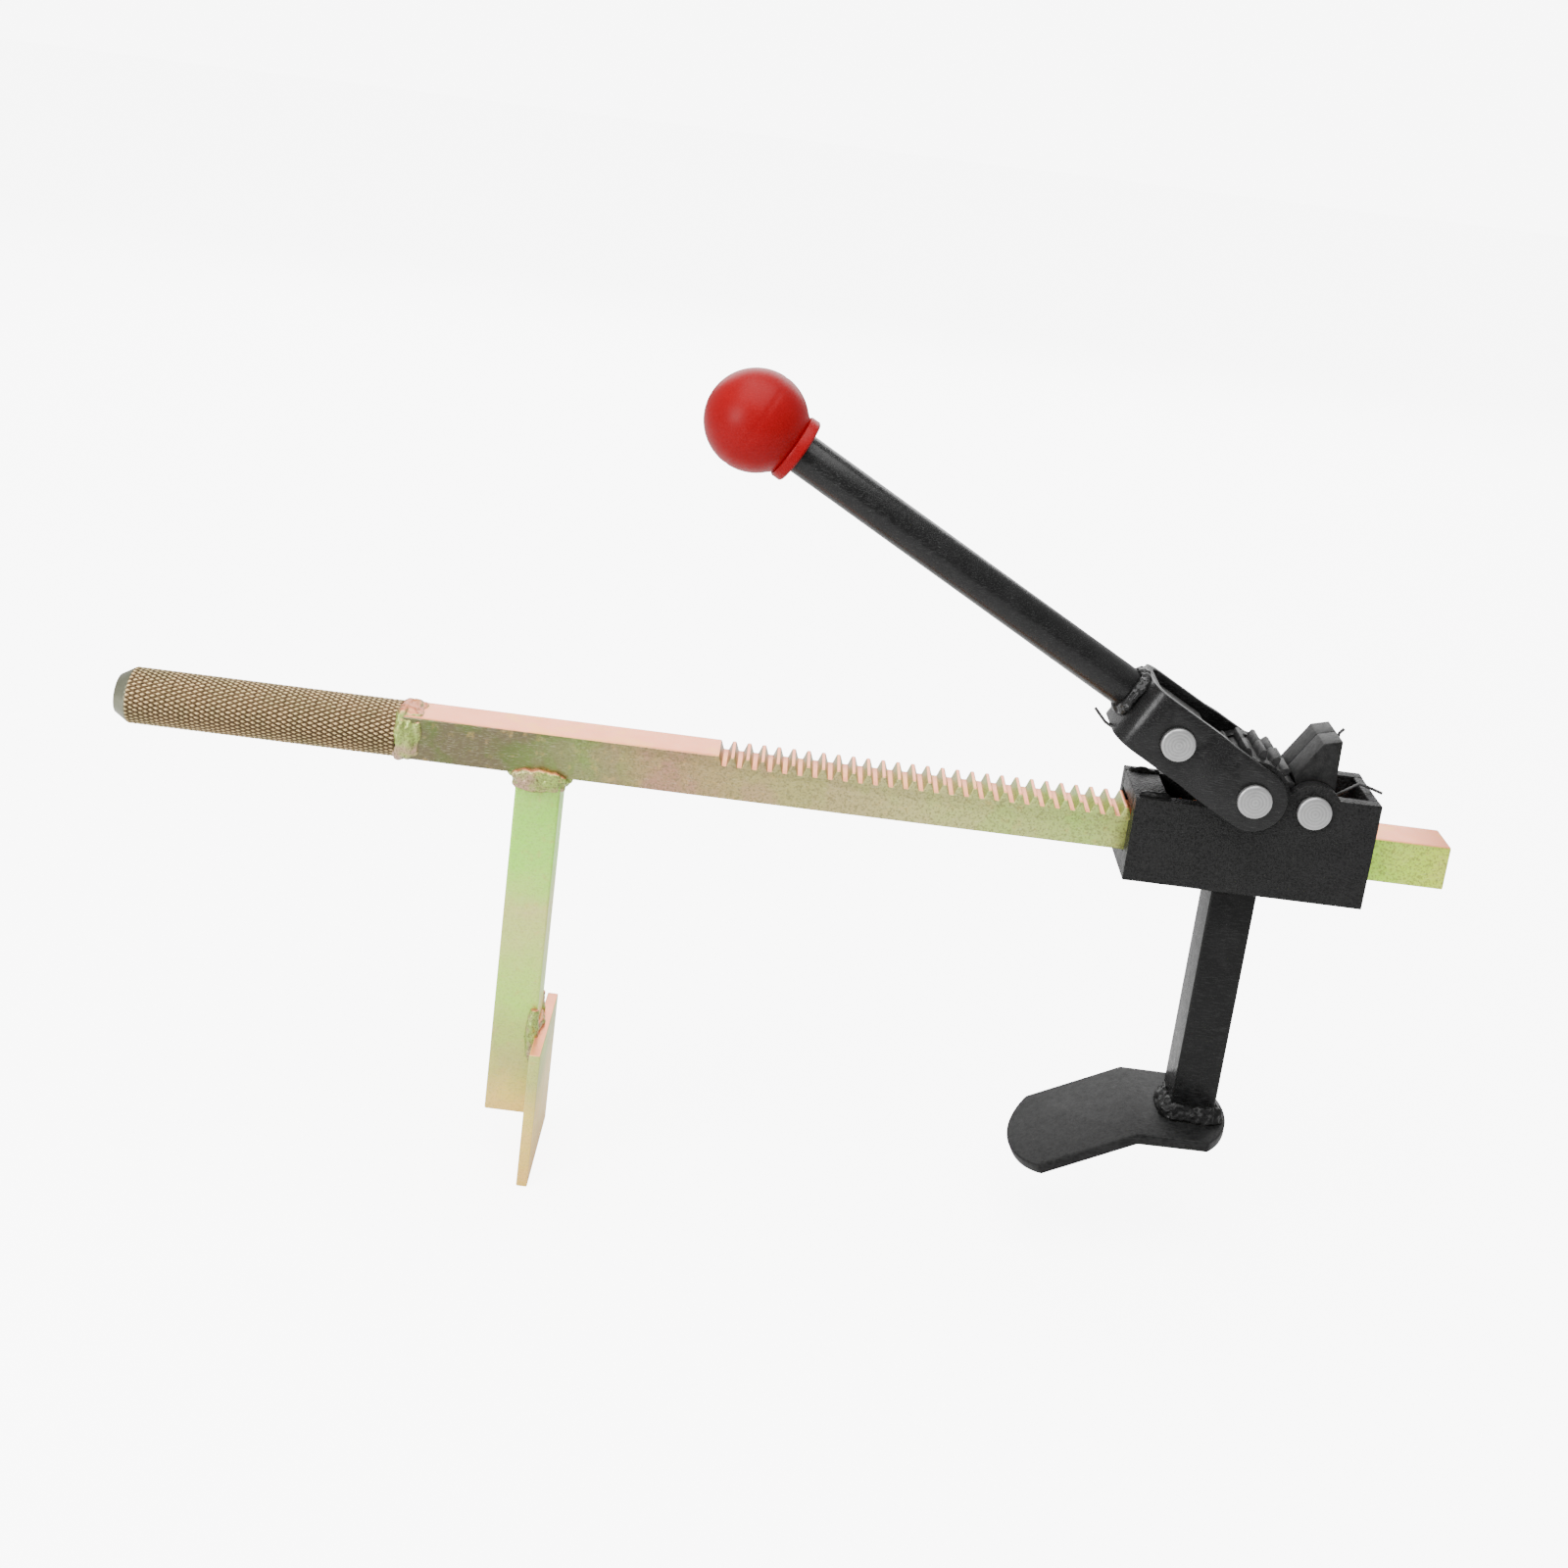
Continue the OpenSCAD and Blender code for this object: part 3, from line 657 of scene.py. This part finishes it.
def turned(name, profile, steps=96):
    """Spins a profile of (distance along the lever, radius) in mm about the rod's axis."""
    mesh = bpy.data.meshes.new(name)
    mesh.from_pydata(
        [(r * MM, 0, d * MM) for d, r in profile],
        [(i, i + 1) for i in range(len(profile) - 1)],
        [],
    )
    obj = bpy.data.objects.new(name, mesh)
    bpy.context.scene.collection.objects.link(obj)
    pick(obj)
    bpy.ops.object.mode_set(mode="EDIT")
    bpy.ops.mesh.select_all(action="SELECT")
    bpy.ops.mesh.spin(steps=steps, angle=math.tau, center=(0, 0, 0), axis=(0, 0, 1))
    bpy.ops.mesh.select_all(action="SELECT")
    bpy.ops.mesh.remove_doubles(threshold=0.003 * MM)
    bpy.ops.mesh.normals_make_consistent(inside=False)
    bpy.ops.object.mode_set(mode="OBJECT")
    x, y, z = on_lever(0, ROD_RISE)
    lay = Euler((0, -math.pi / 2 + LEVER_ANGLE, 0)).to_matrix().to_4x4()
    mesh.transform(Matrix.Translation((x * MM, y * MM, z * MM)) @ lay)
    bpy.ops.object.shade_smooth_by_angle(angle=math.radians(40))
    return obj


ball = []
for step in range(61):
    angle = math.pi * step / 60
    d, r = -math.cos(angle) * KNOB_R, math.sin(angle) * KNOB_R
    if d < -13.2:
        continue
    if abs(d) < 0.5:
        r -= 0.16
    ball.append((KNOB_AT + d, max(r, 0)))
collar = [
    (KNOB_AT - 13.0, BORE_R), (KNOB_AT - 18.2, BORE_R), (KNOB_AT - 18.6, BORE_R + 0.35),
    (KNOB_AT - 18.6, COLLAR_R - 0.6), (KNOB_AT - 18.0, COLLAR_R),
    (KNOB_AT - 15.2, COLLAR_R), (KNOB_AT - 14.7, COLLAR_R - 0.3),
    (KNOB_AT - 14.5, COLLAR_R - 0.9),
]
knob = turned("knob_ball", collar + ball)
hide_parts("knob")
red = Finish("knob_plastic", Specular_IOR_Level=0.1)
shade = red.noise(12, 2, 95)
red_ground = red.mix(shade, tint(0.19, 0.0, 0.002), tint(0.24, 0.001, 0.003))
worn = scuffs(red, 0.18, 3.0, 97)
red_ground = red.mix(worn * 0.06, red_ground, tint(0.6, 0.08, 0.08))
red.feed(Base_Color=red_ground, Roughness=red.noise(4, 3, 96) * 0.14 + 0.30 + worn * 0.1)
red.bump(red.noise(0.8, 2, 98) * 0.4 + worn * -0.3, 0.02)
put_on(knob, red, "lever")

# ---- Pawl springs ----
# Torsion springs of 1.1 mm wire, three turns round each pawl's pin in the relief between
# the plates, with a leg on the fork's bridge or on the end plate. The wire is drawn in
# place and is not attached to any body, so it does not bend as the pawl lifts.
WIRE_R = 0.55
COIL_R = 4.85
TURNS = 3.0


def spring(name, centre, first_leg, last_leg, start_angle, end_angle, node, bends):
    """Wire wound about the Y axis through centre, with a leg at each end; points in mm.

    bends is not used."""
    cx, cz = centre
    turn = (end_angle - start_angle) % 360 + 360 * (TURNS - 1)
    steps = 90
    wound = []
    for step in range(steps + 1):
        angle = math.radians(start_angle + turn * step / steps)
        y = -1.1 + 2.2 * step / steps
        wound.append((cx + COIL_R * math.cos(angle), y, cz + COIL_R * math.sin(angle)))
    path = first_leg + wound + last_leg
    wire = bpy.data.curves.new(name, "CURVE")
    wire.dimensions = "3D"
    wire.bevel_depth = WIRE_R * MM
    wire.bevel_resolution = 4
    wire.use_fill_caps = True
    spline = wire.splines.new("POLY")
    spline.points.add(len(path) - 1)
    for point, (x, y, z) in zip(spline.points, path):
        point.co = (x * MM, y * MM, z * MM, 1)
    obj = bpy.data.objects.new(name, wire)
    bpy.context.scene.collection.objects.link(obj)
    pick(obj)
    bpy.ops.object.convert(target="MESH")
    obj = bpy.context.object
    bpy.ops.object.shade_smooth()
    obj.data.materials.clear()
    obj.data.materials.append(ring_finish.material)
    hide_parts(node)
    moving, still, start, end = bends
    [v * MM for v in start]
    [v * MM for v in end]
    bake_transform(obj)
    return obj


spring(
    "hold_pawl_spring_wire", (HOLD_X, HOLD_Z),
    [(445.6, -1.1, 22.4), (440.0, -1.1, 24.2), (437.2, -1.1, 24.9), (421.6, -1.1, 13.65)],
    [(427.6, 1.1, 20.2), (427.3, 1.1, 41.7), (428.8, 1.1, 43.6)],
    -58, 2, "hold_pawl_spring", ("hold_pawl", "head", (428.9, 0, 20), (440, 0, 20)),
)
spring(
    "drive_pawl_spring_wire", (drive_x, drive_z),
    [on_lever(27.4, -14.6, -1.1), on_lever(26.9, -11.4, -1.1), on_lever(29.7, -9.4, -1.1)],
    [on_lever(45.6, -10.4, 1.1), on_lever(47.4, -12.2, 1.1), on_lever(51.6, -12.2, 1.1),
     on_lever(57.6, -10.2, 1.1)],
    -49, 272, "drive_pawl_spring",
    ("drive_pawl", "lever", on_lever(36.5, -8), on_lever(45.2, -8)),
)

# ---- Studio ----
# A pale floor under the hook, a pale room and three soft lamps.
bpy.ops.object.select_all(action="DESELECT")
bpy.ops.mesh.primitive_plane_add(size=12, location=(0.2, 0, -0.1612))
floor = bpy.context.object
floor.name = "studio_floor"
pale = Finish("floor_paper", Roughness=0.9, Specular_IOR_Level=0.0)
pale.feed(Base_Color=pale.mix(pale.noise(400, 1, 3), grey(0.74), grey(0.78)))
to_camera = pale.node("LightPath", out="Is Camera Ray")
pale.shader.inputs["Emission Strength"].default_value = 7.0
pale.feed(Emission_Color=pale.mix(to_camera, grey(0), grey(1)))
floor.data.materials.append(pale.material)

world = bpy.data.worlds.new("studio_room")
world.use_nodes = True
room = world.node_tree
seen_by_camera = room.nodes.new("ShaderNodeLightPath").outputs["Is Camera Ray"]
glow = room.nodes.new("ShaderNodeMapRange")
glow.inputs["To Min"].default_value = 0.8
glow.inputs["To Max"].default_value = 8.0
room.links.new(seen_by_camera, glow.inputs["Value"])
room.links.new(glow.outputs["Result"], room.nodes["Background"].inputs["Strength"])
room.nodes["Background"].inputs["Color"].default_value = grey(1)
bpy.context.scene.world = world


def softbox(name, at, width, height, glare):
    """A soft lamp of an even brightness at a place in metres, turned to the tool."""
    light = bpy.data.lights.new(name, "AREA")
    light.shape = "RECTANGLE"
    light.size = width
    light.size_y = height
    light.energy = math.pi * width * height * glare
    obj = bpy.data.objects.new(name, light)
    bpy.context.scene.collection.objects.link(obj)
    obj.location = at
    aim = Vector((0.25, 0, 0)) - Vector(at)
    obj.rotation_euler = aim.to_track_quat("-Z", "Y").to_euler()


softbox("overhead", (0.15, -0.25, 1.2), 1.3, 1.3, 6.0)
softbox("behind", (0.25, 1.7, 0.85), 2.2, 1.2, 4.0)
softbox("front_left", (-0.7, -0.9, 0.45), 0.5, 0.7, 16.0)

camera_data = bpy.data.cameras.new("camera")
camera_data.lens = 43.38
camera_data.sensor_width = 36
camera_data.shift_x = 0.0006
camera_data.shift_y = -0.2015
camera_data.clip_start = 0.01
camera_data.clip_end = 50
camera = bpy.data.objects.new("camera", camera_data)
bpy.context.scene.collection.objects.link(camera)
camera.location = (0.22241, -0.62528, 0.26146)
camera.rotation_euler = [math.radians(a) for a in (76.4074, -7.0246, 1.6559)]
bpy.context.scene.camera = camera
